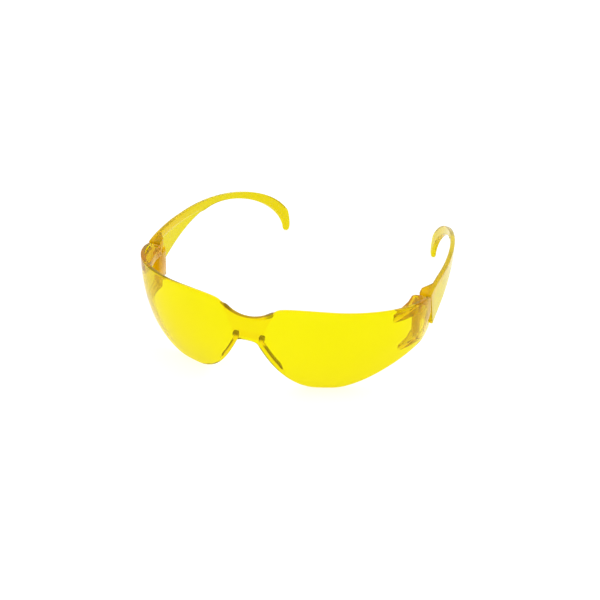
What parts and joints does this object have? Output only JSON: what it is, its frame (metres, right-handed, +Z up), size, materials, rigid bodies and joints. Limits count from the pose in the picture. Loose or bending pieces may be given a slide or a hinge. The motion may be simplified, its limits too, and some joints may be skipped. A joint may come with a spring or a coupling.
{
  "type": "safety glasses",
  "caption": "Frameless wrap-around safety glasses: a one-piece amber-yellow shield with nose cut-out, brow lip and hinge lugs, and two folding hooked temples on pins.",
  "frame": {"origin": "on the table the open glasses stand on, at the middle of their footprint", "axes": "+Z up, -Y out of the front of the shield, +X towards the wearer's left; the middle plane is X = 0"},
  "size_m": [0.1356, 0.16, 0.0422],
  "materials": {
    "shield_tint": "polished clear polycarbonate tinted lemon yellow",
    "temple_tint": "polished clear polycarbonate, amber where it is thick",
    "pin_tint": "polished clear polycarbonate, amber"
  },
  "bodies": {
    "front": {"front_shield": "shield_tint", "hinge_pin_left": "pin_tint", "hinge_pin_right": "pin_tint"},
    "temple_left": {"temple_left": "temple_tint"},
    "temple_right": {"temple_right": "temple_tint"}
  },
  "joints": [
    {"name": "temple_left_hinge", "type": "hinge", "parent": "front", "child": "temple_left", "pos_m": [0.0622, -0.03622, 0.0272], "axis": [0, 0, 1], "range_deg": [0, 84]},
    {"name": "temple_right_hinge", "type": "hinge", "parent": "front", "child": "temple_right", "pos_m": [-0.0622, -0.03622, 0.0272], "axis": [0, 0, -1], "range_deg": [0, 72]}
  ]
}
